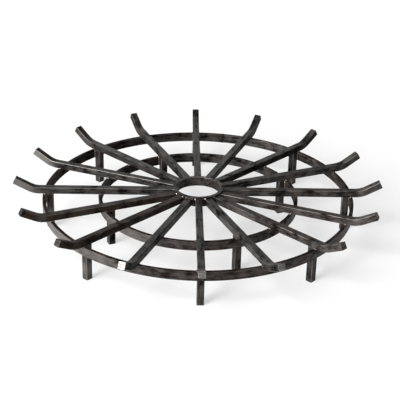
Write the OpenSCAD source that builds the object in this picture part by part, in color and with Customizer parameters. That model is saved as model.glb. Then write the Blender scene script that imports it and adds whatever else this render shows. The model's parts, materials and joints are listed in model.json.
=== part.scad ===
// Round log grate for a fire pit: solid-bar spokes with upturned ends, welded to a short ring
// in the middle and to two hoops that stand on edge below them, all carried on straight legs.
// Millimetres. The origin is on the floor under the centre, +Z is up and -Y is the front.

/* [Overall] */
// Width across the tips of two opposite spokes
tip_span = 1016; // [960:0.1:1100]
// Height of the spokes' underside above the floor
deck_h = 101.6; // [65:0.1:155]

/* [Square bar] */
// Width of the square bar that the spokes and legs are cut from
bar_w = 19.05; // [14:0.05:20]
// Radius of the square bar's rolled corners
bar_corner = 2.1; // [0.5:0.1:3]

/* [Spokes] */
// Number of spokes; an outer leg stands under every second one
spoke_count = 16; // [8, 12, 16]
// Angle by which a spoke's outer end turns up
bend_angle = 28.4; // [10:0.1:40]
// Radius of that bend along the middle of the bar
bend_r = 65; // [30:1:90]
// Straight run from the outer hoop's face to the start of the bend
bend_run = 7; // [1:0.5:12]
// How much the bar swells all round where it is bent
bend_swell = 0.1; // [0.05:0.05:0.4]

/* [Flat bar] */
// Width of the flat bar, which is the hoops' height
strap_h = 25.4; // [16:0.1:38]
// Thickness of the flat bar
strap_t = 9.525; // [6:0.025:12]
// Radius of the flat bar's corners
strap_corner = 0.9; // [0.4:0.1:2]

/* [Hoops] */
// Outer diameter of the outer hoop
outer_hoop_d = 854; // [780:1:888]
// Outer diameter of the inner hoop
inner_hoop_d = 549; // [450:1:620]
// Gap between a rolled hoop's ends, which the seam weld fills
seam_gap = 3; // [2:0.5:5]
// Bay between two spokes, counted from the front, that holds the outer hoop's seam
outer_seam_bay = 8; // [1:1:8]
// Bay that holds the inner hoop's seam
inner_seam_bay = 6; // [1:1:8]

/* [Hub ring] */
// Outer diameter of the ring that the spokes butt against
hub_d = 138; // [130:0.5:165]
// Wall of the hub ring
hub_wall = 9; // [4:0.05:12]
// How far the hub ring's top rim stands above the spokes
hub_rise = 4.4; // [4:0.1:10]
// How far its bottom rim hangs below the spokes
hub_drop = 3; // [0:0.05:5]
// Radius that breaks the edges of the hub ring's rims
hub_corner = 0.8; // [0.4:0.1:1.5]

/* [Legs] */
// Number of spokes from one inner leg to the next
inner_leg_step = 4; // [2, 4]

/* [Welds] */
// Leg length of the fillet welds round a spoke's root
root_bead = 3.3; // [2:0.1:3.8]
// Leg length of the fillet welds where a spoke crosses a hoop
crossing_bead = 3.4; // [2:0.1:4.5]
// Leg length of the fillet welds on the legs
leg_bead = 3.6; // [2:0.1:5]
// Width of a hoop's seam weld along the hoop
seam_cap = 9; // [6:0.5:12]
// How far a seam weld stands proud of the flat bar
seam_proud = 0.9; // [0.3:0.1:1.5]

/* [Hidden] */
$fn = 96;
hoop_fn = 240;
front = 270;
pitch = 360 / spoke_count;
outer_leg_step = 2;
outer_leg_count = spoke_count / outer_leg_step;
inner_leg_count = floor(spoke_count / inner_leg_step);

tip_r = tip_span / 2;
deck_top = deck_h + bar_w;
bar_axis_h = deck_h + bar_w / 2;
flat_w = bar_w - 2 * bar_corner;

hub_r = hub_d / 2;
hub_h = hub_drop + bar_w + hub_rise;
hub_z = deck_h - hub_drop;

outer_hoop_r = outer_hoop_d / 2;
inner_hoop_r = inner_hoop_d / 2;
hoop_z = deck_h - strap_h;

bend_x = outer_hoop_r + bend_run;
bend_end_x = bend_x + bend_r * sin(bend_angle);
// The straight bars run this far into the swollen bend.
bend_lap = 0.5;
end_run = (tip_r - bend_end_x - bar_w / 2 * sin(bend_angle)) / cos(bend_angle);

// The root beads of two neighbouring spokes leave this much room between them.
root_clear = 1;
root_room = 2 * hub_r * sin(pitch / 2) - bar_w;
root_bead_r = min(root_bead, (root_room - root_clear) / 2, hub_rise);

steel = "#35322f";
steel_warm = "#3d3834";
weld_grey = "#55524f";

function two_digits(i) = str(i < 10 ? "0" : "", i);
function spoke_name(i) = str("spoke_", two_digits(i));
function outer_leg_name(i) = str("outer_leg_", i);
function inner_leg_name(i) = str("inner_leg_", i);

// Section of a rolled bar: a rectangle with rounded corners, centred on the origin.
// grow enlarges it all round.
module bar_section(width, height, corner, grow = 0) {
    square([width - 2 * corner, height + 2 * grow], center = true);
    square([width + 2 * grow, height - 2 * corner], center = true);
    for (x = [-1, 1], y = [-1, 1])
        translate([x * (width / 2 - corner), y * (height / 2 - corner)])
            circle(r = corner + grow);
}

module square_section(grow = 0) {
    bar_section(bar_w, bar_w, bar_corner, grow);
}

// Straight square bar along X, between two places on it.
module bar_along_x(from, to) {
    translate([from, 0, 0])
        rotate([90, 0, 90])
            linear_extrude(to - from)
                square_section();
}

// Upward bend in the XZ plane, which starts at the origin along +X.
module bar_bend() {
    translate([0, 0, bend_r])
        rotate([0, 90, 0])
            rotate([90, 0, 0])
                rotate_extrude(angle = bend_angle)
                    translate([bend_r, 0])
                        square_section(bend_swell);
}

// Moves its children from the start of a bend to its end, turned with the bar.
module at_bend_end() {
    translate([0, 0, bend_r])
        rotate([0, -bend_angle, 0])
            translate([0, 0, -bend_r])
                children();
}

// Turns its children to the place of spoke i, where spoke 1 points to the front.
module at_spoke(i) {
    rotate([0, 0, front + (i - 1) * pitch])
        children();
}

// Solid cylinder on the object's axis, from height z up.
module disc(radius, z, height) {
    translate([0, 0, z])
        cylinder(r = radius, h = height, $fn = hoop_fn);
}

// Spoke along +X: its root is coped to the hub ring and its end is sawn square.
module spoke_bar() {
    difference() {
        translate([0, 0, bar_axis_h]) {
            bar_along_x(hub_r - hub_wall, bend_x + bend_lap);
            translate([bend_x, 0, 0]) {
                bar_bend();
                at_bend_end()
                    bar_along_x(-bend_lap, end_run);
            }
        }
        disc(hub_r, deck_h - bar_w, 3 * bar_w);
    }
}

module spoke(i) {
    color(steel)
        at_spoke(i)
            spoke_bar();
}

// Ring of thick flat bar: the spokes' common root, open in the middle.
module hub_ring() {
    color(steel_warm)
        translate([0, 0, hub_z + hub_h / 2])
            rotate_extrude($fn = hoop_fn)
                translate([hub_r - hub_wall / 2, 0])
                    bar_section(hub_wall, hub_h, hub_corner);
}

// Angle at the axis that a length along a hoop takes.
function hoop_angle(length, hoop_r) = length / (hoop_r - strap_t / 2) * 180 / PI;
function seam_at(bay) = front + (bay - 0.5) * pitch;

// Stretch of a hoop, centred on the direction of its seam. grow enlarges its section all round.
module hoop_arc(hoop_r, bay, from, sweep, grow = 0) {
    translate([0, 0, hoop_z + strap_h / 2])
        rotate([0, 0, seam_at(bay) + from])
            rotate_extrude(angle = sweep, $fn = hoop_fn)
                translate([hoop_r - strap_t / 2, 0])
                    bar_section(strap_t, strap_h, strap_corner, grow);
}

module hoop(hoop_r, bay) {
    gap = hoop_angle(seam_gap, hoop_r);
    hoop_arc(hoop_r, bay, gap / 2, 360 - gap);
}

module outer_hoop() {
    color(steel)
        hoop(outer_hoop_r, outer_seam_bay);
}

module inner_hoop() {
    color(steel)
        hoop(inner_hoop_r, inner_seam_bay);
}

// Weld that fills a hoop's gap and laps over both of its ends.
module seam_weld(hoop_r, bay) {
    cap = hoop_angle(seam_cap, hoop_r);
    difference() {
        hoop_arc(hoop_r, bay, -cap / 2, cap, seam_proud);
        hoop(hoop_r, bay);
    }
}

module outer_hoop_seam() {
    color(weld_grey)
        seam_weld(outer_hoop_r, outer_seam_bay);
}

module inner_hoop_seam() {
    color(weld_grey)
        seam_weld(inner_hoop_r, inner_seam_bay);
}

// Leg along +X's direction: it stands against the hoop's inner face, with its top under a spoke.
module leg_bar(hoop_r) {
    face_r = hoop_r - strap_t;
    intersection() {
        translate([face_r - bar_w / 2, 0, 0])
            linear_extrude(deck_h)
                square_section();
        disc(face_r, 0, deck_h);
    }
}

function outer_leg_spoke(i) = 1 + outer_leg_step * (i - 1);
function inner_leg_spoke(i) = 2 + inner_leg_step * (i - 1);

module outer_leg(i) {
    color(steel)
        at_spoke(outer_leg_spoke(i))
            leg_bar(outer_hoop_r);
}

module inner_leg(i) {
    color(steel)
        at_spoke(inner_leg_spoke(i))
            leg_bar(inner_hoop_r);
}

// Fillet weld up both sides of a spoke's root and across its top, against the hub ring.
module root_weld() {
    difference() {
        union() {
            translate([hub_r, 0, deck_top])
                rotate([90, 0, 0])
                    cylinder(r = root_bead_r, h = bar_w, center = true);
            for (side = [-1, 1])
                translate([hub_r, side * bar_w / 2, deck_h]) {
                    cylinder(r = root_bead_r, h = bar_w);
                    translate([0, 0, bar_w])
                        sphere(r = root_bead_r);
                }
        }
        disc(hub_r, deck_h - bar_w, 3 * bar_w);
        spoke_bar();
    }
}

module hub_welds() {
    color(weld_grey)
        for (i = [1:spoke_count])
            at_spoke(i)
                root_weld();
}

// Fillet welds on a hoop's top edge, one along each side of the spoke that crosses it.
module crossing_weld(hoop_r) {
    difference() {
        intersection() {
            for (side = [-1, 1])
                translate([hoop_r - strap_t, side * bar_w / 2, deck_h])
                    rotate([0, 90, 0])
                        cylinder(r = crossing_bead, h = strap_t);
            difference() {
                disc(hoop_r - strap_corner, deck_h, 2 * crossing_bead);
                disc(hoop_r - strap_t + strap_corner, deck_h - 1, 2 * crossing_bead + 2);
            }
        }
        spoke_bar();
    }
}

module outer_crossing_welds() {
    color(weld_grey)
        for (i = [1:spoke_count])
            at_spoke(i)
                crossing_weld(outer_hoop_r);
}

module inner_crossing_welds() {
    color(weld_grey)
        for (i = [1:spoke_count])
            at_spoke(i)
                crossing_weld(inner_hoop_r);
}

// Fillet welds of a leg: one down each side against its hoop, and one under the spoke.
module leg_weld(hoop_r) {
    face_r = hoop_r - strap_t;
    difference() {
        union() {
            intersection() {
                for (side = [-1, 1])
                    translate([face_r, side * bar_w / 2, hoop_z])
                        cylinder(r = leg_bead, h = strap_h);
                disc(face_r, hoop_z, strap_h);
            }
            translate([face_r - bar_w, 0, deck_h])
                rotate([90, 0, 0])
                    cylinder(r = leg_bead, h = flat_w, center = true);
        }
        leg_bar(hoop_r);
        spoke_bar();
    }
}

module outer_leg_welds() {
    color(weld_grey)
        for (i = [1:outer_leg_count])
            at_spoke(outer_leg_spoke(i))
                leg_weld(outer_hoop_r);
}

module inner_leg_welds() {
    color(weld_grey)
        for (i = [1:inner_leg_count])
            at_spoke(inner_leg_spoke(i))
                leg_weld(inner_hoop_r);
}

hub_ring();
inner_hoop();
outer_hoop();
for (i = [1:spoke_count]) spoke(i);
for (i = [1:outer_leg_count]) outer_leg(i);
for (i = [1:inner_leg_count]) inner_leg(i);
hub_welds();
inner_crossing_welds();
outer_crossing_welds();
inner_leg_welds();
outer_leg_welds();
inner_hoop_seam();
outer_hoop_seam();
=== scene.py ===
"""Looks of the round welded log grate, and the studio it is seen in.

The bars, hoops, hub ring and weld beads are swept with numpy in millimetres, and each piece
is put into its mesh in metres, in the place of the solid that it stands for.
"""

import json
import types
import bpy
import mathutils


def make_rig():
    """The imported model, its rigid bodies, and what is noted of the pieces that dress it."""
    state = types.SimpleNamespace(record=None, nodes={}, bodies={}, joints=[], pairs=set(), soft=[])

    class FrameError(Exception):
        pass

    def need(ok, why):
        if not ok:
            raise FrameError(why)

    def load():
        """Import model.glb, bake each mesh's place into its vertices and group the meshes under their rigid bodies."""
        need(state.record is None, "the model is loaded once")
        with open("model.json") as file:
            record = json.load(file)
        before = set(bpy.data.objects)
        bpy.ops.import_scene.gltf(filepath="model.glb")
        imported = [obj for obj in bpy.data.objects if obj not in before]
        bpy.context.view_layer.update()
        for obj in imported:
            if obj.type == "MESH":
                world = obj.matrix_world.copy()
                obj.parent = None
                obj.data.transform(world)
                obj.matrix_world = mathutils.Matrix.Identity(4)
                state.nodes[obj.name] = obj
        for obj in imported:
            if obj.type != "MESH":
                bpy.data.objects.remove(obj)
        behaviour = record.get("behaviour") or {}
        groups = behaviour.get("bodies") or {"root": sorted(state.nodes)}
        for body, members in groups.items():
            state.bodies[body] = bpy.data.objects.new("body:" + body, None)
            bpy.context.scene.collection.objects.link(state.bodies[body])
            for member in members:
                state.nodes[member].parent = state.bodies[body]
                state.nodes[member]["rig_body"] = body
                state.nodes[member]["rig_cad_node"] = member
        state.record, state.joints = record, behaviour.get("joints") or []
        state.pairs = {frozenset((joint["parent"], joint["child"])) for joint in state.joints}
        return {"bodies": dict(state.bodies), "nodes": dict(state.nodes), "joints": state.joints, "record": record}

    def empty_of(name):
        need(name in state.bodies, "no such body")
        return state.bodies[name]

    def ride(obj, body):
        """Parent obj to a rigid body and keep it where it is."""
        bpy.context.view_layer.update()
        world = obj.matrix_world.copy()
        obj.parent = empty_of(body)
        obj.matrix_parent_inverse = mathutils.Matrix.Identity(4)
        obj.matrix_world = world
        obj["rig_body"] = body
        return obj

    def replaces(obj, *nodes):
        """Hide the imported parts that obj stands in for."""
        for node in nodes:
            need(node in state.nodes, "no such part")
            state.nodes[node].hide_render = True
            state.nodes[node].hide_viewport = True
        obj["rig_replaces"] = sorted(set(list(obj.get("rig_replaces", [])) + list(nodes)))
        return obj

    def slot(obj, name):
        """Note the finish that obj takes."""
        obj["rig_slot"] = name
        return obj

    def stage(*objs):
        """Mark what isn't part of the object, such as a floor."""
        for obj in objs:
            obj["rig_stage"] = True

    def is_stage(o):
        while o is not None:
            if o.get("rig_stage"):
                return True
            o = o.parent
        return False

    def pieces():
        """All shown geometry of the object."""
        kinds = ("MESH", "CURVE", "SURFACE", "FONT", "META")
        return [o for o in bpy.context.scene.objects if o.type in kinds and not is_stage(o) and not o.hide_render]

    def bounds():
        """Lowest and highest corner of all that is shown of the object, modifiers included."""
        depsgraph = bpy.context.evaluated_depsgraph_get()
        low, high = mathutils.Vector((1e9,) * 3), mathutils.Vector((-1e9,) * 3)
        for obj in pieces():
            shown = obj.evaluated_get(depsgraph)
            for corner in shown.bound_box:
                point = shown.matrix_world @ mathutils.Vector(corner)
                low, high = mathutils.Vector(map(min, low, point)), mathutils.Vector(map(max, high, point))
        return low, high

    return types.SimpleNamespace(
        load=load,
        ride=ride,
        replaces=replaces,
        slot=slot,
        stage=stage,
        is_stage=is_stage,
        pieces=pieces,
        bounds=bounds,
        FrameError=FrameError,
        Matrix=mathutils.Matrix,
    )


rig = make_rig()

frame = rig.load()

import json
import logging
import math
from dataclasses import dataclass, field
from enum import Enum

import bpy
import numpy as np

log = logging.getLogger("log_grate")

METRES = 0.001
TURN = 2 * np.pi
GRAIN = "grain_mm"
WEAR = "wear_map"
POLISH = "polish"
WHITE = "#ffffff"
SIZE_FILE = "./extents.json"

# The slow waves that rolling leaves in a bar's surface.
WAVES = 5
WAVE_LENGTHS = (25, 160)  # mm along the bar
WAVE_TURNS = 4  # a wave goes fewer times than this round the section

Array = np.ndarray
Tree = bpy.types.NodeTree
Node = bpy.types.Node
Socket = bpy.types.NodeSocket
Outputs = bpy.types.NodeOutputs
Material = bpy.types.Material
Colour = tuple[float, float, float, float]
Place = tuple[float, float, float]
Range = tuple[float, float]
Surface = dict[str, object]  # the shader's inputs by name


class Slot(Enum):
    """Material slots of the record."""

    BAR = "bar_steel"
    STRAP = "strap_steel"
    WELD = "weld_metal"


class HoopName(Enum):
    """The two hoops under the spokes."""

    OUTER = "outer"
    INNER = "inner"


class Side(Enum):
    """Side of a bar, by the sign of its sideways coordinate."""

    RIGHT = -1
    LEFT = 1


# ---------------------------------------------------------------- colours and nodes

MIX_COLOUR = {"data_type": "RGBA"}
SMOOTH_RANGE = {"interpolation_type": "SMOOTHSTEP"}
ADD = {"operation": "ADD"}
MULTIPLY = {"operation": "MULTIPLY"}
MAXIMUM = {"operation": "MAXIMUM"}
DOT_PRODUCT = {"operation": "DOT_PRODUCT"}


def srgb(code: str) -> Colour:
    """Turns an sRGB hex colour into a linear one.

    Args:
        code: the colour as "#rrggbb".

    Returns:
        Linear red, green and blue, and an alpha of 1.
    """
    parts = [int(code[i : i + 2], 16) / 255 for i in (1, 3, 5)]
    linear = [v / 12.92 if v <= 0.04045 else ((v + 0.055) / 1.055) ** 2.4 for v in parts]
    return (*linear, 1.0)


def add(tree: Tree, kind: str, settings: dict | None = None, **links: object) -> Node:
    """Adds one node with its settings and its links.

    Args:
        tree: the node tree that gets it.
        kind: the node's type, without the leading "ShaderNode".
        settings: the node's own properties by name.
        links: a value, an output, or a node for its first output, for each input. An input is
            named with _ for a space, or i0, i1 and so on where the inputs share a name.

    Returns:
        The new node.
    """
    made = tree.nodes.new("ShaderNode" + kind)
    for key, value in (settings or {}).items():
        setattr(made, key, value)
    for key, value in links.items():
        numbered = key[0] == "i" and key[1:].isdigit()
        socket = made.inputs[int(key[1:])] if numbered else made.inputs[key.replace("_", " ")]
        value = value.outputs[0] if isinstance(value, Node) else value
        if isinstance(value, Socket):
            tree.links.new(value, socket)
        else:
            socket.default_value = value
    return made


def blank_material(name: str) -> tuple[Material, Tree]:
    """Makes a material with an empty node tree.

    Args:
        name: the material's name.

    Returns:
        The material and its tree.
    """
    material = bpy.data.materials.new(name)
    material.use_nodes = True
    material.node_tree.nodes.clear()
    return material, material.node_tree


@dataclass(frozen=True)
class Pattern:
    """A noise pattern: its size in mm, and a factor on each axis, below 1 to draw it out."""

    size: float
    detail: float
    roughness: float
    axes: Place = (1, 1, 1)


@dataclass(frozen=True)
class Finish:
    """A finish of the steel: noise patterns, what they do to its surface, and its relief."""

    name: str
    patterns: tuple[Pattern, ...] = ()
    bumps: float = 0.3
    bump_depth: float = 0.1  # mm

    def _surface(self, tree: Tree, patterns: list[Node], wear: Outputs) -> tuple[Surface, Node]:
        """Turns the patterns and the wear into a surface, in each finish's own way.

        Args:
            tree: the node tree that gets the nodes.
            patterns: the finish's patterns, in their order.
            wear: the outputs that carry wear_map.

        Returns:
            The shader's inputs by name, and the height of its relief.
        """
        raise NotImplementedError

    def material(self) -> Material:
        """Builds the finish's nodes.

        Returns:
            The material.
        """
        material, tree = blank_material(self.name)
        place = add(tree, "Attribute", {"attribute_name": GRAIN}).outputs["Vector"]
        wear = add(tree, "Attribute", {"attribute_name": WEAR}).outputs
        patterns = [
            add(
                tree,
                "TexNoise",
                Vector=add(tree, "VectorMath", MULTIPLY, i0=place, i1=pattern.axes),
                Scale=1 / pattern.size,
                Detail=pattern.detail,
                Roughness=pattern.roughness,
            )
            for pattern in self.patterns
        ]
        surface, height = self._surface(tree, patterns, wear)
        depth = self.bump_depth * METRES
        bump = add(tree, "Bump", Height=height, Strength=self.bumps, Distance=depth)
        add(tree, "OutputMaterial", Surface=add(tree, "BsdfPrincipled", Normal=bump, **surface))
        return material


@dataclass(frozen=True)
class HotRolledSteel(Finish):
    """Hot-rolled mild steel under its mill scale.

    The scale is a thin, hard skin of iron oxide, nearly black. It is satin where hands and logs
    rub it and duller elsewhere. The rolls leave a fine grain along the bar, the skin turns brown in
    clouds and beside a weld, it cracks into flakes where it is bent or thin, and it is rubbed
    through to grey metal along the corners. Where a bar or hoop sets these to look lit or shaded,
    the flakes, rubbed corners and gloss are painted light, painted sheen and painted shade.
    """

    patterns: tuple[Pattern, ...] = (
        # The grain is coarser than the rolls' real 0.3 mm so that it still shows, and runs
        # 45 mm along the bar. The mottle is coarser than the real 2 mm too, and runs 18 mm.
        Pattern(3.2, 3.0, 0.62, (3.2 / 45, 1, 1)),
        Pattern(6.5, 4.0, 0.7, (6.5 / 18, 1, 1)),
        Pattern(38.0, 2.0, 0.5),  # clouds of thinner, browner skin
        Pattern(0.7, 2.0, 0.6),  # pits under the skin
    )
    bumps: float = 0.35
    bump_depth: float = 0.12
    skin: str = "#0c0b0b"
    worn_skin: str = "#2b2927"
    brown: str = "#281e18"
    heat_tint: str = "#2f2925"
    bare: str = "#8a8681"
    toned: Range = (1.2, 1.8)  # grain, mottle and clouds, from the skin to the worn skin
    browned: Range = (0.5, 1.15)  # clouds and the bar's brown cast
    flaked: Range = (0.75, 1.45)  # pits and thin skin
    rubbed: Range = (1.2, 1.8)  # clouds, mottle and a corner's rub, which give long runs
    most_brown: float = 0.85
    most_rubbed: float = 0.7
    roughness: Range = (0.64, 0.28)  # where dull and where polished
    mottled: Range = (-0.1, 0.1)  # added to that on the darkest and the palest skin
    sheen: Range = (0.05, 0.64)  # specular level where dull and where polished
    patchy: Range = (0.0, 2.1)  # share of that sheen on the darkest and the palest skin

    def _surface(self, tree: Tree, patterns: list[Node], wear: Outputs) -> tuple[Surface, Node]:
        """Lays tone, brown, heat tint and bare metal over the skin, each by its own share.

        Args:
            tree: the node tree that gets the nodes.
            patterns: the grain, the mottle, the clouds and the pits.
            wear: the outputs that carry wear_map.

        Returns:
            The shader's inputs by name, and the height of its relief.
        """
        grain, mottle, clouds, pits = patterns
        rub, heat, thin = add(tree, "SeparateColor", Color=wear["Color"]).outputs[:3]
        polish = add(tree, "Attribute", {"attribute_name": POLISH}).outputs["Fac"]
        shares = []
        for terms, (low, high), most in (
            ((grain, mottle, clouds), self.toned, 1.0),
            ((clouds, wear["Alpha"]), self.browned, self.most_brown),
            ((pits, thin), self.flaked, 1.0),
            ((clouds, mottle, rub), self.rubbed, self.most_rubbed),
        ):
            total = terms[0]
            for term in terms[1:]:
                total = add(tree, "Math", ADD, i0=total, i1=term)
            ends = {"From_Min": low, "From_Max": high, "To_Max": most}
            shares.append(add(tree, "MapRange", SMOOTH_RANGE, Value=total, **ends))
        tone, brown, flakes, runs = shares
        tint = add(tree, "Math", MULTIPLY, i0=heat, i1=mottle)
        corners = add(tree, "Math", MULTIPLY, i0=rub, i1=runs)
        bare = add(tree, "Math", MAXIMUM, i0=corners, i1=flakes)
        colour = srgb(self.skin)
        for share, code in (
            (tone, self.worn_skin),
            (brown, self.brown),
            (tint, self.heat_tint),
            (bare, self.bare),
        ):
            mixed = add(tree, "Mix", MIX_COLOUR, Factor=share, i6=colour, i7=srgb(code))
            colour = mixed.outputs[2]
        smooth, uneven, sheen, patchy = (
            add(tree, "MapRange", Value=value, To_Min=low, To_Max=high)
            for value, (low, high) in (
                (polish, self.roughness),
                (tone, self.mottled),
                (polish, self.sheen),
                (tone, self.patchy),
            )
        )
        surface = {
            "Base_Color": colour,
            "Metallic": bare,
            "Roughness": add(tree, "Math", ADD, i0=smooth, i1=uneven),
            "Specular_IOR_Level": add(tree, "Math", MULTIPLY, i0=sheen, i1=patchy),
        }
        return surface, add(tree, "Math", ADD, i0=pits, i1=grain)


@dataclass(frozen=True)
class BareSteel(Finish):
    """Steel with no skin, which runs from a dark and flat tone to a pale and glossy one."""

    dark: str = "#000000"
    pale: str = WHITE
    toned: Range = (0.0, 1.0)
    roughness: Range = (0.5, 0.2)  # where dark and where pale

    def _toned(self, tree: Tree, first: Node, second: Node) -> Surface:
        """Makes a metal surface whose tone follows the sum of two patterns.

        Args:
            tree: the node tree that gets the nodes.
            first: the one pattern.
            second: the other pattern.

        Returns:
            The shader's inputs by name.
        """
        total = add(tree, "Math", ADD, i0=first, i1=second)
        low, high = self.toned
        tone = add(tree, "MapRange", SMOOTH_RANGE, Value=total, From_Min=low, From_Max=high)
        dark, pale = srgb(self.dark), srgb(self.pale)
        mixed = add(tree, "Mix", MIX_COLOUR, Factor=tone, i6=dark, i7=pale)
        low, high = self.roughness
        roughness = add(tree, "MapRange", Value=tone, To_Min=low, To_Max=high)
        return {"Base_Color": mixed.outputs[2], "Metallic": 1.0, "Roughness": roughness}


@dataclass(frozen=True)
class SawnSteel(BareSteel):
    """Mild steel cut by a bandsaw.

    The cut is bare grey metal with fine parallel saw marks, which break a reflection up
    across the marks. It has gone a little dull and blotchy since it was cut, and a brown bar's
    cut has gone brown as well.
    """

    patterns: tuple[Pattern, ...] = (
        # The saw marks are coarser than the real 0.6 mm so that they still show.
        Pattern(1.3, 2.0, 0.5, (1, 0.06, 1)),
        Pattern(3.4, 3.0, 0.6),  # blotches
    )
    bumps: float = 0.4
    dark: str = "#484543"
    pale: str = "#85827f"
    toned: Range = (0.75, 1.25)
    roughness: Range = (0.5, 0.3)
    tarnish: str = "#14110f"
    tarnished: Range = (0.1, 0.48)  # the bar's brown cast, from no tarnish to the most
    most_tarnish: float = 0.9

    def _surface(self, tree: Tree, patterns: list[Node], wear: Outputs) -> tuple[Surface, Node]:
        """Tarnishes the marked and blotchy metal as far as the bar is brown.

        Args:
            tree: the node tree that gets the nodes.
            patterns: the saw marks and the blotches.
            wear: the outputs that carry wear_map.

        Returns:
            The shader's inputs by name, and the height of its relief.
        """
        surface = self._toned(tree, *patterns)
        low, high = self.tarnished
        ends = {"From_Min": low, "From_Max": high, "To_Max": self.most_tarnish}
        aged = add(tree, "MapRange", SMOOTH_RANGE, Value=wear["Alpha"], **ends)
        clean, tarnish = surface["Base_Color"], srgb(self.tarnish)
        mixed = add(tree, "Mix", MIX_COLOUR, Factor=aged, i6=clean, i7=tarnish)
        return surface | {"Base_Color": mixed.outputs[2]}, patterns[0]


@dataclass(frozen=True)
class WeldMetal(BareSteel):
    """Wire-welded steel bead, brushed but not ground.

    It is silvery on the crests of its ripples, and dark and glassy in the hollows, where slag
    and heat tint stay behind.
    """

    patterns: tuple[Pattern, ...] = (Pattern(2.2, 3.0, 0.6),)  # spots of slag
    dark: str = "#2d2724"
    pale: str = "#a5a09a"
    toned: Range = (0.75, 1.5)

    def _surface(self, tree: Tree, patterns: list[Node], wear: Outputs) -> tuple[Surface, Node]:
        """Tones the metal by its spots and by the height of its ripples."""
        crests = add(tree, "SeparateColor", Color=wear["Color"])
        return self._toned(tree, patterns[0], crests), patterns[0]


# ---------------------------------------------------------------- surfaces


@dataclass(frozen=True)
class Outline:
    """Closed outline of a bar's section, counter-clockwise, as arrays of one entry a point.

    The give is how far a point may wander, and around is its share of the way round.
    """

    points: Array
    normals: Array
    rub: Array
    give: Array
    around: Array

    def rolled(
        self, along: Array, uneven: float, seed: int, inset: Array | float = 0.0, half: float = 1.0
    ) -> Array:
        """Gives a bar's sections the slow waves that rolling leaves in its surface.

        A point moves along its normal by its give times a height, which is the mean of some
        sine waves, times the unevenness, less half of it. Each wave has its own length along
        the bar, goes a whole number of times round the section, and starts at its own phase.
        A row with an inset has no waves, and is smaller by inset / half.

        Args:
            along: distance along the bar in mm, one a row.
            uneven: the unevenness in mm.
            seed: picks the waves.
            inset: inset of each row in mm, on a bar with sawn ends.
            half: half of the bar's width in mm.

        Returns:
            Points (p, q), with the axes row, column, pq.
        """
        draw = np.random.default_rng(seed)
        length = draw.uniform(*WAVE_LENGTHS, WAVES)[:, None, None]
        turns = draw.integers(0, WAVE_TURNS, WAVES)[:, None, None]
        phase = draw.uniform(0, TURN, WAVES)[:, None, None]
        waves = np.sin(TURN * (along[:, None] / length + turns * self.around) + phase)
        inset = np.broadcast_to(inset, along.shape)
        height = uneven * waves.mean(axis=0) - uneven * 0.5
        height *= self.give * (inset == 0)[:, None]
        shrink = (1 - inset / half)[:, None, None]
        return self.points * shrink + self.normals * height[..., None]


@dataclass(frozen=True)
class RolledSection:
    """Section of rolled bar: a rectangle with rounded corners, centred on the origin."""

    width: float
    height: float
    corner: float
    arc_steps: int = 7
    flat_steps: int = 6
    give_reach: float = 0.45

    def outline(self) -> Outline:
        """Works out the outline.

        A corner point is the corner's centre plus its radius times (cos a, sin a), where a
        runs through the corner's quarter turn. A flat point lies between the last point of
        one corner and the first of the next, at a share of (1 - cos) / 2 that crowds the
        points towards the corners. The rub is sin(2 a)^2 on a corner and 0 on the flats. The
        give is 0 on a corner and nears 1 along the flats.

        Returns:
            The outline.
        """
        quarter = np.arange(4)[:, None] * np.pi / 2
        turn = quarter + np.linspace(0, np.pi / 2, self.arc_steps)
        half = np.array([self.width, self.height]) / 2
        centre = np.array([[1, 1], [-1, 1], [-1, -1], [1, -1]]) * (half - self.corner)
        normal = np.stack([np.cos(turn), np.sin(turn)], axis=-1)
        arcs = centre[:, None] + self.corner * normal
        start = arcs[:, -1:]
        run = np.roll(arcs, -1, axis=0)[:, :1] - start
        step = np.arange(1, self.flat_steps + 1)
        share = 0.5 - 0.5 * np.cos(np.pi * step / (self.flat_steps + 1))
        flats = start + run * share[:, None]
        flat_normal = np.broadcast_to(normal[:, -1:], flats.shape)
        reach = np.minimum(share, 1 - share) * np.linalg.norm(run, axis=-1)
        wander = 1 - np.exp(-reach / self.give_reach)
        points = np.concatenate([arcs, flats], axis=1).reshape(-1, 2)
        apart = np.linalg.norm(np.roll(points, -1, axis=0) - points, axis=1)
        return Outline(
            points=points,
            normals=np.concatenate([normal, flat_normal], axis=1).reshape(-1, 2),
            rub=np.concatenate([np.sin(2 * turn) ** 2, 0 * reach], axis=1).ravel(),
            give=np.concatenate([0 * turn, wander], axis=1).ravel(),
            around=(np.cumsum(apart) - apart) / apart.sum(),
        )


def glow(distance: Array, reach: float) -> Array:
    """Bell curve: 1 at no distance, dying away over the reach, both in one unit."""
    return np.exp(-((distance / reach) ** 2))


def turned(points: Array, heading: float) -> Array:
    """Turns points about the vertical axis, counter-clockwise from above, by radians."""
    c, s = math.cos(heading), math.sin(heading)
    return points @ np.array([[c, s, 0], [-s, c, 0], [0, 0, 1]])


def ring(angle: Array, radius: float, height: float, section: Array) -> Array:
    """Carries sections round the vertical axis.

    The section's point (p, q) lies at the height plus p and at the radius plus q, in the
    direction (cos, sin) of its row's angle.

    Args:
        angle: direction of each row in radians.
        radius: of the circle that the section's origin runs round, in mm.
        height: of that circle in mm.
        section: points (p, q), with the axes row, column, pq.

    Returns:
        Points with the axes row, column, xyz.
    """
    out = radius + section[..., 1]
    x, y = out * np.cos(angle)[:, None], out * np.sin(angle)[:, None]
    return np.stack([x, y, height + section[..., 0]], axis=-1)


def grain_of(along: Array, section: Array, offset: float = 0.0) -> Array:
    """Pattern coordinates of a swept bar in mm: the distance along it plus an offset, p, q."""
    length = np.broadcast_to((along + offset)[:, None, None], (*section.shape[:2], 1))
    return np.concatenate([length, section], axis=-1)


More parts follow.
